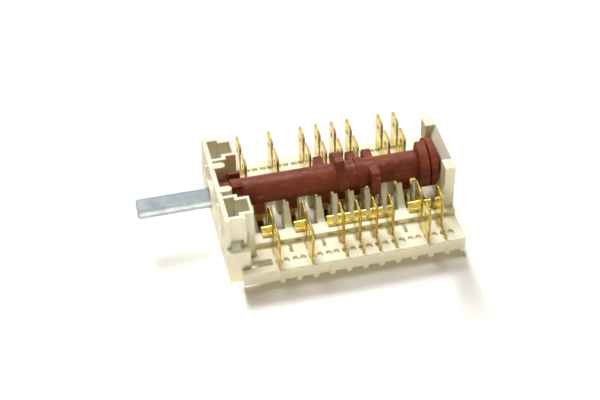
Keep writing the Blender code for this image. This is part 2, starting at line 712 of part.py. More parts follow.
def build_shaft():
    """The round steel shaft, with a chamfer round its tip."""
    start = SHAFT_TIP_X + SHAFT_TIP_CHAMFER
    mesh = prism(shaft_outline(), "X", start, SHAFT_SOCKET_X - SEAT_GAP)
    tip = [face for face in mesh.faces if face.calc_center_median().x < (start + NUDGE) * MM]
    bmesh.ops.inset_region(mesh, faces=tip, thickness=SHAFT_TIP_CHAMFER * MM, use_even_offset=True)
    bmesh.ops.translate(mesh, verts=tip[0].verts, vec=(-SHAFT_TIP_CHAMFER * MM, 0.0, 0.0))
    bmesh.ops.recalc_face_normals(mesh, faces=mesh.faces)
    data = bpy.data.meshes.new("drive_shaft")
    mesh.to_mesh(data)
    mesh.free()
    return smooth(data, 30)


def wheel_outline():
    """The click wheel: square teeth with notches that face the two plungers."""
    points = []
    step = 360 / WHEEL_NOTCHES
    half_notch = WHEEL_NOTCH_DEG / 2
    for notch in range(WHEEL_NOTCHES):
        middle = notch * step
        points += arc((0.0, 0.0), WHEEL_ROOT_RADIUS, middle - half_notch, middle + half_notch, 2)
        points += arc((0.0, 0.0), WHEEL_RADIUS, middle + half_notch, middle + step - half_notch, 3)
    return points


def lobe_outline(middle, half_span):
    """One cam lobe with a round crest and sloping flanks that run down into the core."""
    crest = arc((0.0, 0.0), LOBE_RADIUS, middle - half_span, middle + half_span, max(3, int(half_span / 6)))
    root = CORE_RADIUS - RUNNING_GAP / 2
    start = radians(middle - half_span - LOBE_RAMP_DEG)
    end = radians(middle + half_span + LOBE_RAMP_DEG)
    return [(root * cos(start), root * sin(start))] + crest + [(root * cos(end), root * sin(end)), (0.0, 0.0)]


def lobe_pieces(which):
    """The lobes with one number in each track's list, so that none of them meet each other."""
    pieces = []
    half_width = LOBE_WIDTH / 2 - 2 * NUDGE * which
    for track, lobes in LOBES.items():
        if which < len(lobes):
            middle = track_x(track)
            pieces.append(prism(lobe_outline(*lobes[which]), "X", middle - half_width, middle + half_width))
    return gather(pieces)


def ring_pieces():
    """Low rings that stand a little proud of the core."""
    return gather([rod("X", (0.0, 0.0), RING_RADIUS, low * PITCH, high * PITCH, 32) for low, high in RINGS])


def build_camshaft():
    """The moulded cam: front journal, click wheel, core with rings and lobes, and the rear disc."""
    front = PLATE_BACK_X + SEAT_GAP
    shoulder_end = REAR_WALL_X - SEAT_GAP
    profile = [
        (front, JOURNAL_RADIUS),
        (WHEEL_X[0], JOURNAL_RADIUS),
        (WHEEL_X[0] + CORE_TAPER, CORE_RADIUS),
        (REAR_LOBE_X[1] - CORE_TAPER, CORE_RADIUS),
        (REAR_LOBE_X[1], GROOVE_RADIUS),
        (END_DISC_X[0], GROOVE_RADIUS),
        (END_DISC_X[0] + NUDGE, END_DISC_RADIUS),
        (END_DISC_X[1] - END_DISC_CHAMFER, END_DISC_RADIUS),
        (END_DISC_X[1], END_DISC_RADIUS - END_DISC_CHAMFER),
        (END_DISC_X[1] + NUDGE, REAR_SHOULDER_RADIUS),
        (shoulder_end, REAR_SHOULDER_RADIUS),
        (shoulder_end + NUDGE, REAR_JOURNAL_RADIUS),
        (BASE_REAR_X - MARGIN, REAR_JOURNAL_RADIUS),
    ]
    socket = prism(shaft_outline(SEAT_GAP / 2), "X", front - OVERCUT, SHAFT_SOCKET_X)
    steps = [
        ("UNION", prism(wheel_outline(), "X", WHEEL_X[0], WHEEL_X[1])),
        ("UNION", prism(lobe_outline(*REAR_LOBE_DEG), "X", REAR_LOBE_X[0], REAR_LOBE_X[1])),
        ("UNION", ring_pieces()),
        ("UNION", lobe_pieces(0)),
        ("UNION", lobe_pieces(1)),
        ("DIFFERENCE", socket),
    ]
    body = turned(profile, "X", (0.0, 0.0), 28)
    return smooth(shaped("camshaft", body, steps))


# Terminals. Outlines use the distance from the shaft's plane and the height.

def blade_top(middle):
    """The upper edge of a blade, from its inner side to its outer side."""
    half = BLADE_WIDTH / 2
    low = BLADE_TIP_Z - BLADE_SHOULDER
    return [
        (middle - half, low),
        (middle - half + BLADE_SHOULDER, BLADE_TIP_Z),
        (middle + half - BLADE_SHOULDER, BLADE_TIP_Z),
        (middle + half, low),
    ]


def paired_outline():
    """Two blades joined by a bridge that steps down from the ledge to the deck."""
    half = BLADE_WIDTH / 2
    step_y = LEDGE_OUTER_Y + SEAT_GAP
    gap_radius = (OUTER_BLADE_Y - INNER_BLADE_Y - BLADE_WIDTH) / 2
    gap_middle = (OUTER_BLADE_Y + INNER_BLADE_Y) / 2
    outline = [(step_y, UNDER_BLADE_LEDGE_Z), (step_y, UNDER_BLADE_DECK_Z)]
    outline += [(OUTER_BLADE_Y + half, UNDER_BLADE_DECK_Z)]
    outline += reversed(blade_top(OUTER_BLADE_Y))
    outline += reversed(arc((gap_middle, BRIDGE_TOP_Z + gap_radius), gap_radius, 180, 360, 4))
    outline += reversed(blade_top(INNER_BLADE_Y))
    outline += [(INNER_BLADE_Y - half, UNDER_BLADE_LEDGE_Z)]
    return outline


def single_outline():
    """One blade between the two rows, with a low foot out to the deck's edge."""
    half = BLADE_WIDTH / 2
    step_y = LEDGE_OUTER_Y + SEAT_GAP
    neck_y = STRIP_ROOT_Y - STRIP_TAB_LENGTH
    neck_z = UNDER_BLADE_LEDGE_Z + SINGLE_NECK_HEIGHT
    foot_y = BASE_HALF_WIDTH - SINGLE_FOOT_MARGIN
    foot_z = UNDER_BLADE_DECK_Z + SINGLE_FOOT_HEIGHT
    outline = [(step_y, UNDER_BLADE_LEDGE_Z), (step_y, UNDER_BLADE_DECK_Z), (foot_y, UNDER_BLADE_DECK_Z)]
    outline += [(foot_y, foot_z), (SINGLE_BLADE_Y + half, foot_z)]
    outline += reversed(blade_top(SINGLE_BLADE_Y))
    outline += [(SINGLE_BLADE_Y - half, neck_z), (neck_y, neck_z), (neck_y, UNDER_BLADE_LEDGE_Z)]
    return outline


def hook_path():
    """The near strip's bend over the chamber wall, which carries the contact arm's root."""
    crown_z = STRIP_Z + HOOK_RISE - HOOK_CROWN_RADIUS
    crown = arc((HOOK_Y + HOOK_CROWN_RADIUS, crown_z), HOOK_CROWN_RADIUS, 0, 180, 4)
    crown_foot = (HOOK_Y + 2 * HOOK_CROWN_RADIUS + STRIP_THICKNESS, STRIP_Z)
    return [(STRIP_ROOT_Y, STRIP_Z), crown_foot] + crown + [(HOOK_Y, HOOK_BOTTOM_Z)]


def foot_path():
    """The far strip's run over the chamber wall, down it and along the floor under the arm."""
    bend = STRIP_BEND_RADIUS
    down = arc((HOOK_Y + bend, STRIP_Z - bend), bend, 90, 180, 3)
    floor = arc((HOOK_Y - bend, FIXED_FOOT_Z + bend), bend, 360, 270, 3)
    return [(STRIP_ROOT_Y, STRIP_Z)] + down + floor + [(FIXED_FOOT_END_Y, FIXED_FOOT_Z)]


def terminal_mesh(name, outline, blade_x, blade_centres, path):
    """A terminal of the near side, with the track's middle at X = 0."""
    low, high = blade_x - BLADE_THICKNESS / 2, blade_x + BLADE_THICKNESS / 2
    blade = prism([(-d, z) for d, z in outline], "X", low, high)
    strip_outline = [(-d, z) for d, z in band(path, STRIP_THICKNESS)]
    strip = prism(strip_outline, "X", -STRIP_WIDTH / 2, STRIP_WIDTH / 2)
    tab_top = UNDER_BLADE_LEDGE_Z + STRIP_THICKNESS - NUDGE
    tab = box((STRIP_WIDTH / 2 - MARGIN, MARGIN / 2 - STRIP_ROOT_Y, UNDER_BLADE_LEDGE_Z + NUDGE),
              (high - MARGIN / 2, STRIP_TAB_LENGTH - STRIP_ROOT_Y, tab_top))
    holes = []
    for middle in blade_centres:
        centre = (-middle, BLADE_TIP_Z - BLADE_HOLE_BELOW_TIP)
        holes.append(rod("X", centre, BLADE_HOLE_RADIUS, low - OVERCUT, high + OVERCUT, 8))
    return smooth(shaped(name, blade, [("UNION", strip), ("UNION", tab), ("DIFFERENCE", gather(holes))]))


# Contact arms, rivets and the click mechanism

def arm_path():
    """The leaf from its root at the near wall, over the hump under the track, to its tip."""
    hump_z = HUMP_TOP_Z - ARM_THICKNESS / 2
    pivot = (-ARM_PIVOT_Y, ARM_PIVOT_Z)
    return [
        (-ARM_PIVOT_Y, ARM_ROOT_TOP_Z),
        pivot,
        (ARM_BEND[0] - ARM_PIVOT_Y, ARM_PIVOT_Z - ARM_BEND[1]),
        (-HUMP_FOOT_Y, ARM_LOW_Z),
        (-HUMP_HALF_WIDTH - HUMP_SLOPE, hump_z - HUMP_SLOPE),
        (MARGIN - HUMP_HALF_WIDTH, hump_z),
        (HUMP_HALF_WIDTH - MARGIN, hump_z),
        (HUMP_HALF_WIDTH + HUMP_SLOPE, hump_z - HUMP_SLOPE),
        (HUMP_FOOT_Y, ARM_LOW_Z),
        (ARM_TIP_Y, ARM_LOW_Z),
    ]


def build_arm():
    mesh = prism(band(arm_path(), ARM_THICKNESS), "X", -ARM_WIDTH / 2, ARM_WIDTH / 2)
    data = bpy.data.meshes.new("contact_arm")
    mesh.to_mesh(data)
    mesh.free()
    moved(data, (0.0, -ARM_PIVOT_Y, ARM_PIVOT_Z))
    return smooth(data)


def rivet_mesh(name, dome_up):
    """A round contact button with its domed face up or down, its flat back at Z = 0."""
    rise = 0.2
    away = 1.0 if dome_up else -1.0
    profile = [
        (0.0, CONTACT_RADIUS),
        (away * (CONTACT_HEIGHT - rise), CONTACT_RADIUS),
        (away * (CONTACT_HEIGHT - rise / 4), CONTACT_RADIUS * 0.62),
        (away * CONTACT_HEIGHT, CONTACT_RADIUS * 0.3),
    ]
    mesh = turned(profile, "Z", (0.0, 0.0), 12)
    data = bpy.data.meshes.new(name)
    mesh.to_mesh(data)
    mesh.free()
    return smooth(data)


def build_plunger():
    """The near plunger, which points at +Y, with its nose just off the click wheel."""
    nose = -(WHEEL_RADIUS + SEAT_GAP)
    profile = [
        (-PLUNGER_BACK_Y, PLUNGER_RADIUS - PLUNGER_CHAMFER),
        (PLUNGER_CHAMFER - PLUNGER_BACK_Y, PLUNGER_RADIUS),
        (nose - PLUNGER_NOSE_LENGTH, PLUNGER_RADIUS),
        (nose - PLUNGER_CHAMFER, PLUNGER_NOSE_RADIUS),
        (nose, PLUNGER_NOSE_RADIUS * 0.6),
    ]
    mesh = turned(profile, "Y", (0.0, 0.0), 18)
    data = bpy.data.meshes.new("detent_plunger")
    mesh.to_mesh(data)
    mesh.free()
    return smooth(data)


def build_spring():
    """The near spring: a round wire wound between the plunger and the tower's outer wall."""
    start = -(PLUNGER_BACK_Y + SEAT_GAP + SPRING_WIRE_RADIUS)
    end = -(TOWER_STEM_OUTER_Y - TOWER_WALL - SEAT_GAP - SPRING_WIRE_RADIUS)
    per_turn, wire_sides = 9, 4
    count = SPRING_TURNS * per_turn
    mesh = bmesh.new()
    rings = []
    for index in range(count + 1):
        angle = 2 * pi * index / per_turn
        along = start + (end - start) * index / count
        ring = []
        for side in range(wire_sides):
            around = 2 * pi * side / wire_sides
            radius = SPRING_RADIUS + SPRING_WIRE_RADIUS * cos(around)
            lift = SPRING_WIRE_RADIUS * sin(around)
            spot = (radius * cos(angle), along + lift, radius * sin(angle))
            ring.append(mesh.verts.new(tuple(value * MM for value in spot)))
        rings.append(ring)
    for first, second in zip(rings, rings[1:]):
        for side in range(wire_sides):
            following = (side + 1) % wire_sides
            mesh.faces.new((first[side], first[following], second[following], second[side]))
    mesh.faces.new(rings[0])
    mesh.faces.new(rings[-1])
    bmesh.ops.recalc_face_normals(mesh, faces=mesh.faces)
    data = bpy.data.meshes.new("detent_spring")
    mesh.to_mesh(data)
    mesh.free()
    return smooth(data, 60)


# Assembly

def add_moulded_parts(frame):
    ivory = make_material("ivory_plastic", (0.86, 0.80, 0.62), 0.45)
    brick = make_material("brick_plastic", (0.30, 0.07, 0.045), 0.5)
    steel = make_material("zinc_steel", (0.62, 0.66, 0.70), 0.35, 1.0)
    add_node("base_housing", build_base(), ivory, frame)
    add_node("front_bracket", build_bracket(), ivory, frame)
    axis = (0.0, 0.0, AXIS_Z)
    add_node("camshaft", build_camshaft(), brick, frame, axis)
    add_node("drive_shaft", build_shaft(), steel, frame, axis)


def add_terminals(frame):
    brass = make_material("brass", (0.83, 0.62, 0.22), 0.28, 1.0)
    pair = (OUTER_BLADE_Y, INNER_BLADE_Y)
    near_pair = terminal_mesh("near_pair", paired_outline(), BLADE_OFFSET_X, pair, hook_path())
    single = (SINGLE_BLADE_Y,)
    near_single = terminal_mesh("near_single", single_outline(), SINGLE_BLADE_OFFSET_X, single, hook_path())
    far_pair = terminal_mesh("far_pair", paired_outline(), BLADE_OFFSET_X, pair, foot_path())
    for position in FITTED_POSITIONS:
        near = near_pair if NEAR_BLADES[position] == "pair" else near_single
        spot = (track_x(position), 0.0, 0.0)
        add_node(f"near_terminal_{position}", near, brass, frame, spot)
        add_node(f"far_terminal_{position}", far_pair, brass, frame, spot, pi)


def add_contacts(frame):
    spring_brass = make_material("spring_brass", (0.80, 0.56, 0.20), 0.32, 1.0)
    silver = make_material("contact_silver", (0.80, 0.80, 0.78), 0.3, 1.0)
    arm = build_arm()
    moving = rivet_mesh("arm_contact", False)
    fixed = rivet_mesh("fixed_contact", True)
    for position in FITTED_POSITIONS:
        middle = track_x(position)
        hinge = bpy.data.objects.new(f"arm_pivot_{position}", None)
        bpy.context.scene.collection.objects.link(hinge)
        hinge.parent = frame
        hinge.location = (middle * MM, -ARM_PIVOT_Y * MM, ARM_PIVOT_Z * MM)
        add_node(f"contact_arm_{position}", arm, spring_brass, hinge)
        spot = (0.0, CONTACT_Y + ARM_PIVOT_Y, MOVING_CONTACT_Z - ARM_PIVOT_Z)
        add_node(f"arm_contact_{position}", moving, silver, hinge, spot)
        add_node(f"fixed_contact_{position}", fixed, silver, frame, (middle, CONTACT_Y, FIXED_CONTACT_Z))


def add_click_parts(frame):
    steel = make_material("bright_steel", (0.70, 0.71, 0.72), 0.25, 1.0)
    plunger, spring = build_plunger(), build_spring()
    spot = (PLUNGER_X, 0.0, AXIS_Z)
    for name, turn in (("near", 0.0), ("far", pi)):
        add_node(f"detent_plunger_{name}", plunger, steel, frame, spot, turn)
        add_node(f"detent_spring_{name}", spring, steel, frame, spot, turn)


def main():
    clear_scene()
    frame = bpy.data.objects.new("switch_frame", None)
    bpy.context.scene.collection.objects.link(frame)
    frame.location = (-MIDDLE_X * MM, 0.0, 0.0)
    add_moulded_parts(frame)
    add_terminals(frame)
    add_contacts(frame)
    add_click_parts(frame)


main()
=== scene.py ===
"""Looks of the oven selector switch: finishes, fine shapes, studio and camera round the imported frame."""

import json
from math import acos, atan2, cos, degrees, pi, radians, sin

import bmesh
import bpy
from mathutils import Matrix, Vector


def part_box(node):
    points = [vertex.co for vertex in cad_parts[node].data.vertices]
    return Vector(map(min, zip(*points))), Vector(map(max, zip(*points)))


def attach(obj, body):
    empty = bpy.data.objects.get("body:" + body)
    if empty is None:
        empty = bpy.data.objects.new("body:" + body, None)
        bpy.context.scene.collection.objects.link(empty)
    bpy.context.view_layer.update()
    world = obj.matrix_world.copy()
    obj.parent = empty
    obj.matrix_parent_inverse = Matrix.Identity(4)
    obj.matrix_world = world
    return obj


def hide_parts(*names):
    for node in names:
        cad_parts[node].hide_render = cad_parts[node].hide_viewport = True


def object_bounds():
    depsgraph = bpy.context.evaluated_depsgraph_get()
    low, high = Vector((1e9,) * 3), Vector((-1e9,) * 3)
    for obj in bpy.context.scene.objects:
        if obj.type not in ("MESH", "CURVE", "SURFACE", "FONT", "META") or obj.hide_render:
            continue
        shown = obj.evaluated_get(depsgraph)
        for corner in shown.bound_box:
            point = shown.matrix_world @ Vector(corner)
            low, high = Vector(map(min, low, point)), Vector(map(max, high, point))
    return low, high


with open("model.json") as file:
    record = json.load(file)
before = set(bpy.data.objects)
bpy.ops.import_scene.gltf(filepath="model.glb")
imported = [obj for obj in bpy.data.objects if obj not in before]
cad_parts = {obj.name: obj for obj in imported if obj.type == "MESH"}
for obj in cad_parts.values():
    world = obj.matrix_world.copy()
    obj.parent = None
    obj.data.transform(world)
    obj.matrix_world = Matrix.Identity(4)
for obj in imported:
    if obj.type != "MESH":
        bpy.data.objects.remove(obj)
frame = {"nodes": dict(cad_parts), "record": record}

CAD_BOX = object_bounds()
NODES = frame["nodes"]
slots = {entry["node"]: entry["material_slot"] for entry in frame["record"]["subparts"]}
MM = 0.001

# The camera, as fitted to the photograph: its place in metres, its angles in degrees, its lens in millimetres
CAMERA_PLACE = Vector((-0.070067, -0.335853, 0.311175))
CAMERA_AZIMUTH = radians(-12.155)
CAMERA_ELEVATION = radians(41.393)
CAMERA_ROLL = radians(-1.389)
CAMERA_LENS = 90.92

# The studio: the surround as light, and each lamp as (name, direction, strength, spread in degrees, colour,
# what it lights). The floor loses SHADE_SHARE of each colour in full shade. Its sizes are in metres.
SURROUND = (0.15, 0.12, 0.06)
LAMPS = (
    ("key", (-0.16, 0.45, 0.88), 1.2, 18.0, (1.0, 1.0, 1.0), "all"),
    ("top", (0.0, 0.33, 0.94), 2.05, 40.0, (1.0, 1.0, 1.0), "object"),
    ("bounce", (-0.25, -0.80, -0.55), 1.3, 40.0, (1.0, 0.96, 0.84), "object"),
    ("low", (0.06, 0.86, 0.50), 3.9, 14.0, (1.0, 1.0, 1.0), "floor"),
)
FLOOR_COLOUR = (0.96, 0.95, 0.92)
SHADE_SHARE = (0.94, 0.97, 1.0)
FLOOR_DROP = 0.0002
FLOOR_HALF_SIZE = 3.0

# Tones of the finishes, as (darker, lighter)
IVORY = ((0.87, 0.83, 0.66), (0.92, 0.89, 0.74))
BRICK = ((0.140, 0.025, 0.009), (0.270, 0.055, 0.022))
BRICK_SCUFF = (0.46, 0.17, 0.10)
DRAWN_ZINC = ((0.36, 0.40, 0.41), (0.46, 0.51, 0.515))
# The shaft's flat and ends: a duller milled finish, made darker with painted shade
MILLED_ZINC_PAINTED_SHADE = ((0.15, 0.168, 0.18), (0.21, 0.235, 0.245))
BLADE_BRASS = ((0.52, 0.38, 0.07), (0.86, 0.73, 0.26))
# The blades' cut edges: a duller rough finish, made darker with painted shade
BLADE_EDGE_PAINTED_SHADE = ((0.16, 0.10, 0.02), (0.56, 0.42, 0.10))
ARM_BRONZE = ((0.50, 0.35, 0.07), (0.72, 0.55, 0.15))
SILVER = ((0.70, 0.70, 0.68), (0.84, 0.84, 0.82))
STEEL = ((0.58, 0.59, 0.60), (0.74, 0.75, 0.76))

# How deep the grain of a surface is, in metres
GRAIN_DEPTH = 0.0001

# Sizes of the finer pieces, in millimetres. Position 0 is at X = 0, and the shaft's plane is at Y = 0.
PITCH = 5.0
NEAR_BLADES = {
    0: "pair", 2: "pair", 4: "single", 5: "single", 6: "single", 7: "single", 9: "pair", 10: "single",
}
SHAFT_RADIUS = 3.0
SHAFT_FLAT_HEIGHT = 1.6
SHAFT_TIP_CHAMFER = 0.5
SHAFT_TIP_TO_POSITION_0 = 36.1
SHAFT_SOCKET_X = -1.0
AXIS_Z = 15.3
CAM_FRONT_X = -11.4
WHEEL_X = (-8.1, -4.7)
WHEEL_RADII = (5.2, 6.6)
WHEEL_NOTCHES = 8
WHEEL_NOTCH_DEG = 22.0
CORE_RADIUS = 4.25
CORE_TAPER = 0.5
JOURNAL_RADIUS = 4.0
LOBE_RADIUS = 7.4
LOBE_WIDTH = 2.6
LOBE_RAMP_DEG = 32.0
LOBES = {
    0: ((262, 34),),
    2: ((268, 30),),
    4: ((8, 20), (262, 26)),
    5: ((60, 44), (275, 26)),
    6: ((6, 22), (280, 22)),
    7: ((6, 20), (184, 38)),
    9: ((265, 26),),
}
RING_RADIUS = 4.8
RINGS = ((4.8, 5.4), (6.0, 6.48))
REAR_LOBE_X = (48.9, 51.6)
REAR_LOBE_DEG = (162, 84)
GROOVE_RADIUS = 5.6
END_DISC_X = (52.2, 54.3)
END_DISC_RADIUS = 7.4
END_DISC_CHAMFER = 0.4
REAR_SHOULDER = (55.6, 4.2)
REAR_JOURNAL = (57.5, 2.4)
SOCKET_CLEARANCE = 0.15
TURNED_SIDES = 96
HOLE_SIDES = 32
CONTACT_SIDES = 40
PLUNGER_SIDES = 48

BLADE_THICKNESS = 0.8
BLADE_WIDTH = 6.3
BLADE_TIP_Z = 17.3
BLADE_SHOULDER = 0.8
BLADE_CHAMFER = 0.22
BLADE_HOLE_RADIUS = 0.85
BLADE_HOLE_BELOW_TIP = 3.5
BLADE_OFFSET_X = 1.4
SINGLE_BLADE_OFFSET_X = 1.8
OUTER_BLADE_Y = 21.4
INNER_BLADE_Y = 13.0
SINGLE_BLADE_Y = 16.1
BRIDGE_TOP_Z = 8.0
STEP_Y = 14.5
UNDER_BLADE_LEDGE_Z = 7.1
UNDER_BLADE_DECK_Z = 5.3
SINGLE_NECK = (10.9, 8.5)
SINGLE_FOOT = (23.9, 6.7)
STRIP_THICKNESS = 0.4
STRIP_WIDTH = 2.2
STRIP_ROOT_Y = 12.2
STRIP_TAB_LENGTH = 1.3
HOOK_Y = 9.1
HOOK_RISE = 1.5
HOOK_CROWN_RADIUS = 0.55
HOOK_BOTTOM_Z = 5.8
STRIP_BEND_RADIUS = 0.6
FIXED_FOOT = (3.9, 1.9)

CONTACT_Y = 5.1
CONTACT_RADIUS = 1.0
CONTACT_HEIGHT = 0.6
CONTACT_RIM_HEIGHT = 0.36
MOVING_CONTACT_Z = 4.25
FIXED_CONTACT_Z = 2.3
PLUNGER_X = -6.4
PLUNGER_RADIUS = 1.25
PLUNGER_NOSE_RADIUS = 0.7
PLUNGER_NOSE_ROUNDING = 0.35
PLUNGER_NOSE_Y = 6.9
PLUNGER_NOSE_LENGTH = 1.4
PLUNGER_BACK_Y = 11.2
PLUNGER_CHAMFER = 0.15
SPRING_RADIUS = 0.95
SPRING_WIRE_RADIUS = 0.22
SPRING_Y = (11.72, 15.58)
SPRING_TURNS = 4

SEAT_GAP = 0.3
RUNNING_GAP = 0.25
MARGIN = 0.1
NUDGE = 0.01
OVERSHOOT = 1.0
STRIP_Z = UNDER_BLADE_LEDGE_Z + STRIP_THICKNESS / 2
POSITION_0_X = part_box("drive_shaft")[0].x + SHAFT_TIP_TO_POSITION_0 * MM

# How much of a face's normal lies on an axis, for a face that looks along it or across it
ALONG = 0.99
ACROSS = 0.3

# Rounding of moulded, stamped and turned edges, in metres
EDGE_RADIUS = {"moulding": 0.00018, "sheet": 0.00008, "shaft": 0.00015}
EDGES = {"ivory_plastic": "moulding", "brick_plastic": "moulding", "zinc_steel": "shaft", "brass": "sheet"}


# Materials

def new_material(name, colour, roughness=0.5, metallic=0.0):
    """A material with its nodes, its links and its shader, whose plain values the finish may vary."""
    material = bpy.data.materials.new(name)
    material.use_nodes = True
    shader = material.node_tree.nodes["Principled BSDF"]
    shader.inputs["Base Color"].default_value = (*colour, 1.0)
    shader.inputs["Roughness"].default_value = roughness
    shader.inputs["Metallic"].default_value = metallic
    return material, material.node_tree.nodes, material.node_tree.links, shader


def noise(nodes, links, scale, detail=3.0, stretch=(1.0, 1.0, 1.0)):
    """Noise in the object's own space. The scale is in waves per metre."""
    place = nodes.new("ShaderNodeTexCoord")
    mapping = nodes.new("ShaderNodeMapping")
    mapping.inputs["Scale"].default_value = stretch
    texture = nodes.new("ShaderNodeTexNoise")
    texture.inputs["Scale"].default_value = scale
    texture.inputs["Detail"].default_value = detail
    links.new(place.outputs["Object"], mapping.inputs["Vector"])
    links.new(mapping.outputs["Vector"], texture.inputs["Vector"])
    return texture


def tint(nodes, links, shader, texture, tones, low=0.35, high=0.65):
    """Runs the base colour between a darker and a lighter tone."""
    dark, light = tones
    ramp = nodes.new("ShaderNodeValToRGB")
    ramp.color_ramp.elements[0].position = low
    ramp.color_ramp.elements[0].color = (*dark, 1.0)
    ramp.color_ramp.elements[1].position = high
    ramp.color_ramp.elements[1].color = (*light, 1.0)
    links.new(texture.outputs["Fac"], ramp.inputs["Fac"])
    links.new(ramp.outputs["Color"], shader.inputs["Base Color"])


def speckle(nodes, links, shader, texture, colour, low, high):
    """Lays sparse specks of another colour over the base colour."""
    spots = nodes.new("ShaderNodeMapRange")
    spots.inputs["From Min"].default_value = low
    spots.inputs["From Max"].default_value = high
    mix = nodes.new("ShaderNodeMix")
    mix.data_type = "RGBA"
    mix.inputs["B"].default_value = (*colour, 1.0)
    base = shader.inputs["Base Color"].links[0].from_socket
    links.new(texture.outputs["Fac"], spots.inputs["Value"])
    links.new(spots.outputs["Result"], mix.inputs["Factor"])
    links.new(base, mix.inputs["A"])
    links.new(mix.outputs["Result"], shader.inputs["Base Color"])


def vary_roughness(nodes, links, shader, texture, low, high):
    """Runs the roughness between two values."""
    spread = nodes.new("ShaderNodeMapRange")
    spread.inputs["To Min"].default_value = low
    spread.inputs["To Max"].default_value = high
    links.new(texture.outputs["Fac"], spread.inputs["Value"])
    links.new(spread.outputs["Result"], shader.inputs["Roughness"])


def grain(nodes, links, shader, texture, strength):
    """Roughens the surface very finely."""
    bump = nodes.new("ShaderNodeBump")
    bump.inputs["Strength"].default_value = strength
    bump.inputs["Distance"].default_value = GRAIN_DEPTH
    links.new(texture.outputs["Fac"], bump.inputs["Height"])
    links.new(bump.outputs["Normal"], shader.inputs["Normal"])


def ivory_plastic():
    """Pale moulding that lets a little light in, faintly uneven in colour and gloss."""
    material, nodes, links, shader = new_material("ivory_moulding", IVORY[1])
    tint(nodes, links, shader, noise(nodes, links, 90.0), IVORY)
    vary_roughness(nodes, links, shader, noise(nodes, links, 400.0), 0.36, 0.5)
    grain(nodes, links, shader, noise(nodes, links, 3500.0), 0.12)
    shader.inputs["Subsurface Weight"].default_value = 0.45
    shader.inputs["Subsurface Radius"].default_value = (1.0, 0.68, 0.3)
    shader.inputs["Subsurface Scale"].default_value = 0.0016
    return material


def brick_plastic():
    """Dull red moulding, streaked along the shaft, with paler scuffs."""
    material, nodes, links, shader = new_material("brick_moulding", BRICK[1])
    streaks = noise(nodes, links, 260.0, 6.0, (0.35, 1.0, 1.0))
    tint(nodes, links, shader, streaks, BRICK)
    scuffs = noise(nodes, links, 800.0, 9.0, (0.5, 1.0, 1.0))
    speckle(nodes, links, shader, scuffs, BRICK_SCUFF, 0.58, 0.86)
    vary_roughness(nodes, links, shader, noise(nodes, links, 600.0), 0.34, 0.52)
    shader.inputs["Specular IOR Level"].default_value = 0.2
    grain(nodes, links, shader, noise(nodes, links, 1800.0), 0.2)
    return material


def zinc_steel(name, tones):
    """Zinc plated bar with fine lines along the way it was drawn."""
    material, nodes, links, shader = new_material(name, tones[1], metallic=1.0)
    drawn = noise(nodes, links, 900.0, 4.0, (0.06, 1.0, 1.0))
    tint(nodes, links, shader, noise(nodes, links, 260.0), tones)
    vary_roughness(nodes, links, shader, drawn, 0.34, 0.46)
    grain(nodes, links, shader, drawn, 0.1)
    return material


def rolled_brass(name, tones):
    """Sheet metal with faint upright rolling lines and tarnish."""
    material, nodes, links, shader = new_material(name, tones[1], metallic=1.0)
    rolled = noise(nodes, links, 1400.0, 3.0, (1.0, 1.0, 0.1))
    tint(nodes, links, shader, noise(nodes, links, 300.0), tones)
    vary_roughness(nodes, links, shader, rolled, 0.16, 0.26)
    grain(nodes, links, shader, rolled, 0.08)
    return material


def stamped_edge_painted_shade():
    """The cut edges of the blades, duller than the sheet's faces, and darker and browner with painted shade.
    """
    material, nodes, links, shader = new_material("stamped_edge_painted_shade", BLADE_EDGE_PAINTED_SHADE[1], metallic=1.0)
    across = noise(nodes, links, 2200.0, 4.0, (0.1, 1.0, 1.0))
    tint(nodes, links, shader, across, BLADE_EDGE_PAINTED_SHADE)
    vary_roughness(nodes, links, shader, noise(nodes, links, 1800.0), 0.36, 0.6)
    return material


def bright_metal(name, tones, smoothest, roughest):
    """Bare metal with faint cloudiness in its colour and gloss."""
    material, nodes, links, shader = new_material(name, tones[1], metallic=1.0)
    tint(nodes, links, shader, noise(nodes, links, 700.0), tones)
    vary_roughness(nodes, links, shader, noise(nodes, links, 1600.0), smoothest, roughest)
    return material


def dress_nodes():
    """Gives every packed sub-part its finish and its rounded edges."""
    finishes = {
        "ivory_plastic": ivory_plastic(),
        "brick_plastic": brick_plastic(),
        "zinc_steel": zinc_steel("drawn_zinc", DRAWN_ZINC),
        "brass": rolled_brass("blade_brass", BLADE_BRASS),
        "spring_brass": rolled_brass("arm_bronze", ARM_BRONZE),
        "contact_silver": bright_metal("silver_faces", SILVER, 0.22, 0.4),
        "bright_steel": bright_metal("steel_faces", STEEL, 0.18, 0.34),
    }
    for name, item in NODES.items():
        slot = slots[name]
        item.data.materials.clear()
        item.data.materials.append(finishes[slot])
        if slot in EDGES:
            round_edges(item, EDGE_RADIUS[EDGES[slot]])


def round_edges(item, radius):
    """Rounds the sharp edges of a piece. The radius is in metres."""
    bevel = item.modifiers.new("rounded_edges", "BEVEL")
    bevel.width = radius
    bevel.segments = 2
    bevel.limit_method = "ANGLE"
    bevel.angle_limit = radians(40)
    bevel.use_clamp_overlap = True
    bevel.harden_normals = True


# Mesh helpers. Outlines are in millimetres, and the meshes are in metres.

def place(point, height, axis):
    """A point of an outline, at a height along the axis it is extruded on."""
    a, b = point
    spots = {"X": (height, a, b), "Y": (a, height, b), "Z": (a, b, height)}
    return tuple(value * MM for value in spots[axis])


def arc(centre, radius, start, end, steps):
    """Points on an arc, angles in degrees."""
    points = []
    for step in range(steps + 1):
        angle = radians(start + (end - start) * step / steps)
        points.append((centre[0] + radius * cos(angle), centre[1] + radius * sin(angle)))
    return points


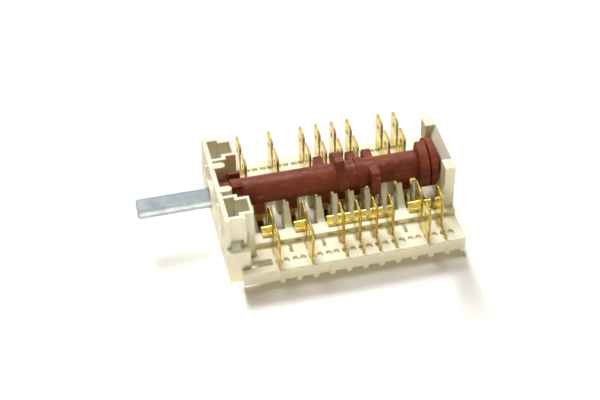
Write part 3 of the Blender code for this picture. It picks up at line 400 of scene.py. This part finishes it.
def skin(rings):
    """A closed mesh through rings of points that have the same number of points each."""
    mesh = bmesh.new()
    loops = [[mesh.verts.new(point) for point in ring] for ring in rings]
    mesh.faces.new(loops[0])
    mesh.faces.new(loops[-1])
    for first, second in zip(loops, loops[1:]):
        for index in range(len(first)):
            following = (index + 1) % len(first)
            mesh.faces.new((first[index], first[following], second[following], second[index]))
    bmesh.ops.recalc_face_normals(mesh, faces=mesh.faces)
    return mesh


def prism(outline, axis, low, high):
    return skin([[place(point, height, axis) for point in outline] for height in (low, high)])


def turned(profile, axis, sides=TURNED_SIDES, centre=(0.0, 0.0)):
    """A solid turned round an axis. The profile lists (place along the axis, radius)."""
    return skin([[place(point, along, axis) for point in arc(centre, radius, 0, 360, sides)[:-1]]
                 for along, radius in profile])


def band(path, thickness):
    """The outline of a bent strip of even thickness along a path."""
    left, right = [], []
    for index, (a, b) in enumerate(path):
        before = path[max(index - 1, 0)]
        after = path[min(index + 1, len(path) - 1)]
        turn_in = atan2(b - before[1], a - before[0]) if index else None
        turn_out = atan2(after[1] - b, after[0] - a) if index < len(path) - 1 else turn_in
        turn_in = turn_out if turn_in is None else turn_in
        half_turn = ((turn_out - turn_in + pi) % (2 * pi) - pi) / 2
        across = turn_in + half_turn + pi / 2
        reach = thickness / 2 / cos(half_turn)
        left.append((a + reach * cos(across), b + reach * sin(across)))
        right.append((a - reach * cos(across), b - reach * sin(across)))
    return left + right[::-1]


def helper_object(mesh, name):
    data = bpy.data.meshes.new(name)
    mesh.to_mesh(data)
    mesh.free()
    item = bpy.data.objects.new(name, data)
    bpy.context.scene.collection.objects.link(item)
    return item


def shaped(name, start, steps, chamfer=0.0):
    """Chamfers a solid's edges if asked, joins and cuts it in order, and returns the finished mesh."""
    body = helper_object(start, name)
    if chamfer:
        edges = body.modifiers.new("chamfer", "BEVEL")
        edges.width = chamfer * MM
        edges.segments = 1
        edges.limit_method = "ANGLE"
        edges.angle_limit = radians(60)
    tools = []
    for operation, mesh in steps:
        tool = helper_object(mesh, name + "_tool")
        tools.append(tool)
        modifier = body.modifiers.new(operation.lower(), "BOOLEAN")
        modifier.operation = operation
        modifier.solver = "EXACT"
        modifier.object = tool
    view = body.evaluated_get(bpy.context.evaluated_depsgraph_get())
    finished = bpy.data.meshes.new_from_object(view)
    finished.name = name
    for item in tools + [body]:
        bpy.data.objects.remove(item, do_unlink=True)
    return smooth(finished)


def as_mesh(mesh, name, angle=35):
    data = bpy.data.meshes.new(name)
    mesh.to_mesh(data)
    mesh.free()
    return smooth(data, angle)


def smooth(data, angle=35):
    data.shade_smooth()
    data.set_sharp_from_angle(angle=radians(angle))
    return data


def add_fine(node, body, data, place_mm, turn=0.0):
    """Puts a finer mesh in the place of a packed sub-part, in its finish where the mesh has none."""
    item = bpy.data.objects.new("fine_" + node, data)
    item.location = (POSITION_0_X + place_mm[0] * MM, place_mm[1] * MM, place_mm[2] * MM)
    item.rotation_euler = (0.0, 0.0, turn)
    bpy.context.scene.collection.objects.link(item)
    if not data.materials:
        data.materials.append(NODES[node].data.materials[0])
    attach(item, body)
    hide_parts(node)
    return item


# Shaft and camshaft

def shaft_outline(clearance=0.0, inset=0.0):
    """A round section with one flat on top, across the shaft's own axis."""
    radius = SHAFT_RADIUS + clearance - inset
    edge = degrees(acos((SHAFT_FLAT_HEIGHT + clearance - inset) / radius))
    return arc((0.0, 0.0), radius, 90 + edge, 450 - edge, TURNED_SIDES)


def mark_milled_painted_shade(data):
    """Makes the flat and the sawn ends duller than the drawn round, and darker with painted shade that holds
    down the lamps' highlight on the flat.
    """
    data.materials.append(NODES["drive_shaft"].data.materials[0])
    data.materials.append(zinc_steel("milled_zinc_painted_shade", MILLED_ZINC_PAINTED_SHADE))
    for face in data.polygons:
        if face.normal.z > ALONG or abs(face.normal.x) > ALONG:
            face.material_index = 1


def drive_shaft():
    """The bar from its chamfered tip to the end in the camshaft's socket."""
    tip = -SHAFT_TIP_TO_POSITION_0
    stations = [
        (tip, SHAFT_TIP_CHAMFER),
        (tip + SHAFT_TIP_CHAMFER, 0.0),
        (SHAFT_SOCKET_X - SEAT_GAP, 0.0),
    ]
    rings = [[place(point, along, "X") for point in shaft_outline(inset=inset)] for along, inset in stations]
    data = as_mesh(skin(rings), "fine_drive_shaft", 30)
    mark_milled_painted_shade(data)
    return data


def wheel_outline():
    """The click wheel: square teeth with notches that face the two plungers."""
    points = []
    step = 360 / WHEEL_NOTCHES
    half_notch = WHEEL_NOTCH_DEG / 2
    for notch in range(WHEEL_NOTCHES):
        middle = notch * step
        points += arc((0.0, 0.0), WHEEL_RADII[0], middle - half_notch, middle + half_notch, 5)
        points += arc((0.0, 0.0), WHEEL_RADII[1], middle + half_notch, middle + step - half_notch, 6)
    return points


def lobe_outline(middle, half_span):
    """One cam lobe with a round crest and sloping flanks that run down into the core."""
    crest = arc((0.0, 0.0), LOBE_RADIUS, middle - half_span, middle + half_span, int(half_span / 2))
    root = CORE_RADIUS - RUNNING_GAP / 2
    start = radians(middle - half_span - LOBE_RAMP_DEG)
    end = radians(middle + half_span + LOBE_RAMP_DEG)
    first = (root * cos(start), root * sin(start))
    last = (root * cos(end), root * sin(end))
    return [first] + crest + [last, (0.0, 0.0)]


def cam_joins():
    """The wheel, the rings and the lobes, each of which is joined to the core."""
    joins = [prism(wheel_outline(), "X", *WHEEL_X), prism(lobe_outline(*REAR_LOBE_DEG), "X", *REAR_LOBE_X)]
    joins += [turned([(low * PITCH, RING_RADIUS), (high * PITCH, RING_RADIUS)], "X") for low, high in RINGS]
    for track, lobes in LOBES.items():
        for order, lobe in enumerate(lobes):
            middle = track * PITCH
            half_width = LOBE_WIDTH / 2 - NUDGE * order
            joins.append(prism(lobe_outline(*lobe), "X", middle - half_width, middle + half_width))
    return joins


def camshaft():
    """The moulded cam: front journal, click wheel, core with rings and lobes, and the rear disc."""
    profile = [
        (CAM_FRONT_X, JOURNAL_RADIUS),
        (WHEEL_X[0], JOURNAL_RADIUS),
        (WHEEL_X[0] + CORE_TAPER, CORE_RADIUS),
        (REAR_LOBE_X[1] - CORE_TAPER, CORE_RADIUS),
        (REAR_LOBE_X[1], GROOVE_RADIUS),
        (END_DISC_X[0], GROOVE_RADIUS),
        (END_DISC_X[0] + NUDGE, END_DISC_RADIUS),
        (END_DISC_X[1] - END_DISC_CHAMFER, END_DISC_RADIUS),
        (END_DISC_X[1], END_DISC_RADIUS - END_DISC_CHAMFER),
        (END_DISC_X[1] + NUDGE, REAR_SHOULDER[1]),
        REAR_SHOULDER,
        (REAR_SHOULDER[0] + NUDGE, REAR_JOURNAL[1]),
        REAR_JOURNAL,
    ]
    socket = prism(shaft_outline(SOCKET_CLEARANCE), "X", CAM_FRONT_X - OVERSHOOT, SHAFT_SOCKET_X)
    steps = [("UNION", join) for join in cam_joins()] + [("DIFFERENCE", socket)]
    return shaped("fine_camshaft", turned(profile, "X"), steps)


def add_rotor():
    axis = (0.0, 0.0, AXIS_Z)
    add_fine("drive_shaft", "rotor", drive_shaft(), axis)
    cam = add_fine("camshaft", "rotor", camshaft(), axis)
    round_edges(cam, EDGE_RADIUS["moulding"])


# Terminals. Outlines use the distance from the shaft's plane and the height.

def blade_top(middle):
    """The upper edge of a blade, from its inner side to its outer side."""
    half = BLADE_WIDTH / 2
    low = BLADE_TIP_Z - BLADE_SHOULDER
    return [
        (middle - half, low),
        (middle - half + BLADE_SHOULDER, BLADE_TIP_Z),
        (middle + half - BLADE_SHOULDER, BLADE_TIP_Z),
        (middle + half, low),
    ]


def paired_outline():
    """Two blades joined by a bridge that steps down from the ledge to the deck."""
    half = BLADE_WIDTH / 2
    gap_radius = (OUTER_BLADE_Y - INNER_BLADE_Y - BLADE_WIDTH) / 2
    gap_centre = ((OUTER_BLADE_Y + INNER_BLADE_Y) / 2, BRIDGE_TOP_Z + gap_radius)
    outline = [(STEP_Y, UNDER_BLADE_LEDGE_Z), (STEP_Y, UNDER_BLADE_DECK_Z)]
    outline += [(OUTER_BLADE_Y + half, UNDER_BLADE_DECK_Z)]
    outline += reversed(blade_top(OUTER_BLADE_Y))
    outline += reversed(arc(gap_centre, gap_radius, 180, 360, 10))
    outline += reversed(blade_top(INNER_BLADE_Y))
    outline += [(INNER_BLADE_Y - half, UNDER_BLADE_LEDGE_Z)]
    return outline


def single_outline():
    """One blade between the two rows, with a low foot out to the deck's edge."""
    half = BLADE_WIDTH / 2
    foot_y, foot_z = SINGLE_FOOT
    neck_y, neck_z = SINGLE_NECK
    outline = [(STEP_Y, UNDER_BLADE_LEDGE_Z), (STEP_Y, UNDER_BLADE_DECK_Z), (foot_y, UNDER_BLADE_DECK_Z)]
    outline += [(foot_y, foot_z), (SINGLE_BLADE_Y + half, foot_z)]
    outline += reversed(blade_top(SINGLE_BLADE_Y))
    outline += [(SINGLE_BLADE_Y - half, neck_z), (neck_y, neck_z), (neck_y, UNDER_BLADE_LEDGE_Z)]
    return outline


def hook_path():
    """The near strip's bend over the chamber wall, which carries the contact arm's root."""
    crown_z = STRIP_Z + HOOK_RISE - HOOK_CROWN_RADIUS
    crown = arc((HOOK_Y + HOOK_CROWN_RADIUS, crown_z), HOOK_CROWN_RADIUS, 0, 180, 12)
    crown_foot = (HOOK_Y + 2 * HOOK_CROWN_RADIUS + STRIP_THICKNESS, STRIP_Z)
    return [(STRIP_ROOT_Y, STRIP_Z), crown_foot] + crown + [(HOOK_Y, HOOK_BOTTOM_Z)]


def foot_path():
    """The far strip's run over the chamber wall, down it and along the floor under the arm."""
    bend = STRIP_BEND_RADIUS
    foot_y, foot_z = FIXED_FOOT
    down = arc((HOOK_Y + bend, STRIP_Z - bend), bend, 90, 180, 8)
    floor = arc((HOOK_Y - bend, foot_z + bend), bend, 360, 270, 8)
    return [(STRIP_ROOT_Y, STRIP_Z)] + down + floor + [(foot_y, foot_z)]


def mark_shaded_cut_edges(data, low, high):
    """Gives the faces across a blade's thickness their own material, darkened with painted shade, all but the
    strip's.
    """
    data.materials.append(NODES["near_terminal_0"].data.materials[0])
    data.materials.append(bpy.data.materials["stamped_edge_painted_shade"])
    for face in data.polygons:
        x, y = face.center.x / MM, face.center.y / MM
        in_blade = low - NUDGE < x < high + NUDGE and y < STRIP_TAB_LENGTH - STRIP_ROOT_Y
        if in_blade and abs(face.normal.x) < ACROSS:
            face.material_index = 1


def terminal(name, outline, blade_x, blade_centres, path):
    """A terminal of the near side, with the position's middle at X = 0."""
    low, high = blade_x - BLADE_THICKNESS / 2, blade_x + BLADE_THICKNESS / 2
    blade = prism([(-d, z) for d, z in outline], "X", low, high)
    strip = prism([(-d, z) for d, z in band(path, STRIP_THICKNESS)], "X", -STRIP_WIDTH / 2, STRIP_WIDTH / 2)
    tab_y = (MARGIN / 2 - STRIP_ROOT_Y, STRIP_TAB_LENGTH - STRIP_ROOT_Y)
    tab_z = (UNDER_BLADE_LEDGE_Z + NUDGE, UNDER_BLADE_LEDGE_Z + STRIP_THICKNESS - NUDGE)
    tab_outline = [(tab_y[0], tab_z[0]), (tab_y[1], tab_z[0]), (tab_y[1], tab_z[1]), (tab_y[0], tab_z[1])]
    tab = prism(tab_outline, "X", STRIP_WIDTH / 2 - MARGIN, high - BLADE_THICKNESS / 2)
    steps = [("UNION", strip), ("UNION", tab)]
    for middle in blade_centres:
        hole = [(low - OVERSHOOT, BLADE_HOLE_RADIUS), (high + OVERSHOOT, BLADE_HOLE_RADIUS)]
        centre = (-middle, BLADE_TIP_Z - BLADE_HOLE_BELOW_TIP)
        steps.append(("DIFFERENCE", turned(hole, "X", HOLE_SIDES, centre)))
    data = shaped(name, blade, steps, BLADE_CHAMFER)
    mark_shaded_cut_edges(data, low, high)
    return data


def add_terminals():
    stamped_edge_painted_shade()
    pair = (OUTER_BLADE_Y, INNER_BLADE_Y)
    single = (SINGLE_BLADE_Y,)
    meshes = {
        "pair": terminal("near_pair", paired_outline(), BLADE_OFFSET_X, pair, hook_path()),
        "single": terminal("near_single", single_outline(), SINGLE_BLADE_OFFSET_X, single, hook_path()),
    }
    far = terminal("far_pair", paired_outline(), BLADE_OFFSET_X, pair, foot_path())
    for position, kind in NEAR_BLADES.items():
        spot = (position * PITCH, 0.0, 0.0)
        add_fine(f"near_terminal_{position}", "root", meshes[kind], spot)
        add_fine(f"far_terminal_{position}", "root", far, spot, pi)


# Contacts and click parts

def contact(name, up):
    """A round contact button with a domed face, its flat back at Z = 0."""
    steps = 8
    profile = [(0.0, CONTACT_RADIUS)]
    for step in range(steps):
        angle = radians(90 * step / steps)
        height = CONTACT_RIM_HEIGHT + (CONTACT_HEIGHT - CONTACT_RIM_HEIGHT) * sin(angle)
        profile.append((up * height, CONTACT_RADIUS * cos(angle)))
    return as_mesh(turned(profile, "Z", CONTACT_SIDES), name)


def plunger():
    """The near plunger, which points at +Y, with its rounded nose just off the click wheel."""
    profile = [
        (-PLUNGER_BACK_Y, PLUNGER_RADIUS - PLUNGER_CHAMFER),
        (PLUNGER_CHAMFER - PLUNGER_BACK_Y, PLUNGER_RADIUS),
        (-PLUNGER_NOSE_Y - PLUNGER_NOSE_LENGTH, PLUNGER_RADIUS),
    ]
    steps = 5
    for step in range(steps + 1):
        angle = radians(80 * step / steps)
        along = -PLUNGER_NOSE_Y - PLUNGER_NOSE_ROUNDING * (1 - sin(angle))
        profile.append((along, PLUNGER_NOSE_RADIUS - PLUNGER_NOSE_ROUNDING * (1 - cos(angle))))
    return as_mesh(turned(profile, "Y", PLUNGER_SIDES), "fine_plunger")


def spring():
    """The near spring: a round wire wound between the plunger and the tower's outer wall."""
    per_turn, wire_sides = 32, 12
    count = SPRING_TURNS * per_turn
    rings = []
    for index in range(count + 1):
        angle = 2 * pi * index / per_turn
        along = -(SPRING_Y[0] + (SPRING_Y[1] - SPRING_Y[0]) * index / count)
        ring = []
        for side in range(wire_sides):
            around = 2 * pi * side / wire_sides
            radius = SPRING_RADIUS + SPRING_WIRE_RADIUS * cos(around)
            lift = SPRING_WIRE_RADIUS * sin(around)
            ring.append((radius * cos(angle) * MM, (along + lift) * MM, radius * sin(angle) * MM))
        rings.append(ring)
    return as_mesh(skin(rings), "fine_spring", 60)


def add_small_parts():
    moving, fixed = contact("moving_contact", -1), contact("fixed_contact", 1)
    for position in NEAR_BLADES:
        upper = (position * PITCH, CONTACT_Y, MOVING_CONTACT_Z)
        lower = (position * PITCH, CONTACT_Y, FIXED_CONTACT_Z)
        add_fine(f"arm_contact_{position}", f"arm_{position}", moving, upper)
        add_fine(f"fixed_contact_{position}", "root", fixed, lower)
    pin, coil = plunger(), spring()
    spot = (PLUNGER_X, 0.0, AXIS_Z)
    for side, turn in (("near", 0.0), ("far", pi)):
        add_fine(f"detent_plunger_{side}", f"detent_{side}", pin, spot, turn)
        add_fine(f"detent_spring_{side}", "root", coil, spot, turn)


# Studio

def light_path(nodes, links, *kinds):
    """One where the ray is of any of these kinds, such as Is Camera Ray."""
    path = nodes.new("ShaderNodeLightPath")
    total = path.outputs[kinds[0]]
    for kind in kinds[1:]:
        either = nodes.new("ShaderNodeMath")
        either.operation = "MAXIMUM"
        links.new(total, either.inputs[0])
        links.new(path.outputs[kind], either.inputs[1])
        total = either.outputs["Value"]
    return total


def make_floor():
    """A pale floor that the camera sees as white where no shadow falls, and warm where one does."""
    half = FLOOR_HALF_SIZE
    data = bpy.data.meshes.new("floor")
    corners = [(-half, -half, 0.0), (half, -half, 0.0), (half, half, 0.0), (-half, half, 0.0)]
    data.from_pydata(corners, [], [(0, 1, 2, 3)])
    floor = bpy.data.objects.new("floor", data)
    floor.location.z = CAD_BOX[0].z - FLOOR_DROP
    bpy.context.scene.collection.objects.link(floor)
    material, nodes, links, shader = new_material("floor_white", FLOOR_COLOUR, 0.9)
    shader.inputs["Specular IOR Level"].default_value = 0.0
    seen = nodes.new("ShaderNodeBsdfDiffuse")
    seen.inputs["Color"].default_value = (*SHADE_SHARE, 1.0)
    lift = nodes.new("ShaderNodeEmission")
    lift.inputs["Color"].default_value = (*[1.0 - share for share in SHADE_SHARE], 1.0)
    white = nodes.new("ShaderNodeAddShader")
    links.new(seen.outputs["BSDF"], white.inputs[0])
    links.new(lift.outputs["Emission"], white.inputs[1])
    choice = nodes.new("ShaderNodeMixShader")
    seen_by = light_path(nodes, links, "Is Camera Ray", "Is Glossy Ray", "Is Transmission Ray")
    links.new(seen_by, choice.inputs["Fac"])
    links.new(shader.outputs["BSDF"], choice.inputs[1])
    links.new(white.outputs["Shader"], choice.inputs[2])
    links.new(choice.outputs["Shader"], nodes["Material Output"].inputs["Surface"])
    data.materials.append(material)
    return floor


def make_world():
    """An even surround that the camera and gloss see as white."""
    world = bpy.data.worlds.new("studio")
    world.use_nodes = True
    bpy.context.scene.world = world
    nodes, links = world.node_tree.nodes, world.node_tree.links
    background = nodes["Background"]
    choice = nodes.new("ShaderNodeMix")
    choice.data_type = "RGBA"
    choice.inputs["A"].default_value = (*SURROUND, 1.0)
    choice.inputs["B"].default_value = (1.0, 1.0, 1.0, 1.0)
    seen_by = light_path(nodes, links, "Is Camera Ray", "Is Glossy Ray", "Is Transmission Ray")
    links.new(seen_by, choice.inputs["Factor"])
    links.new(choice.outputs["Result"], background.inputs["Color"])


def make_sun(name, towards, strength, spread, colour):
    """A distant lamp, placed by the direction that its light comes from."""
    data = bpy.data.lights.new(name, "SUN")
    data.energy = strength
    data.color = colour
    data.angle = radians(spread)
    lamp = bpy.data.objects.new(name, data)
    lamp.rotation_euler = Vector(towards).to_track_quat("Z", "Y").to_euler()
    bpy.context.scene.collection.objects.link(lamp)
    return lamp


def linked_alone(name, item, state):
    """A light linking collection of one object, which is all that counts or all that is left out."""
    group = bpy.data.collections.new(name)
    group.objects.link(item)
    group.collection_objects[0].light_linking.link_state = state
    return group


def make_lamps(floor):
    """Lamps for everything, for the object without the floor, and for the floor in the base's shade."""
    without_floor = linked_alone("all_but_floor", floor, "EXCLUDE")
    floor_alone = linked_alone("floor_alone", floor, "INCLUDE")
    base_alone = linked_alone("base_alone", NODES["base_housing"], "INCLUDE")
    for *settings, reach in LAMPS:
        linking = make_sun(*settings).light_linking
        if reach == "object":
            linking.receiver_collection = without_floor
            linking.blocker_collection = without_floor
        elif reach == "floor":
            linking.receiver_collection = floor_alone
            linking.blocker_collection = base_alone


def make_camera():
    """The camera of the photograph, turned by its azimuth, elevation and roll."""
    azimuth, elevation, roll = CAMERA_AZIMUTH, CAMERA_ELEVATION, CAMERA_ROLL
    back = Vector((sin(azimuth) * cos(elevation), -cos(azimuth) * cos(elevation), sin(elevation)))
    level = Vector((cos(azimuth), sin(azimuth), 0.0))
    upright = back.cross(level)
    right = level * cos(roll) + upright * sin(roll)
    up = upright * cos(roll) - level * sin(roll)
    data = bpy.data.cameras.new("camera")
    data.sensor_fit = "HORIZONTAL"
    data.sensor_width = 36.0
    data.lens = CAMERA_LENS
    data.clip_start = 0.01
    data.clip_end = 20.0
    camera = bpy.data.objects.new("camera", data)
    turn = Matrix((right, up, back)).transposed()
    camera.matrix_world = Matrix.Translation(CAMERA_PLACE) @ turn.to_4x4()
    bpy.context.scene.collection.objects.link(camera)
    bpy.context.scene.camera = camera


bpy.context.scene.view_settings.view_transform = "Standard"
make_camera()
make_world()
make_lamps(make_floor())
dress_nodes()
add_rotor()
add_terminals()
add_small_parts()
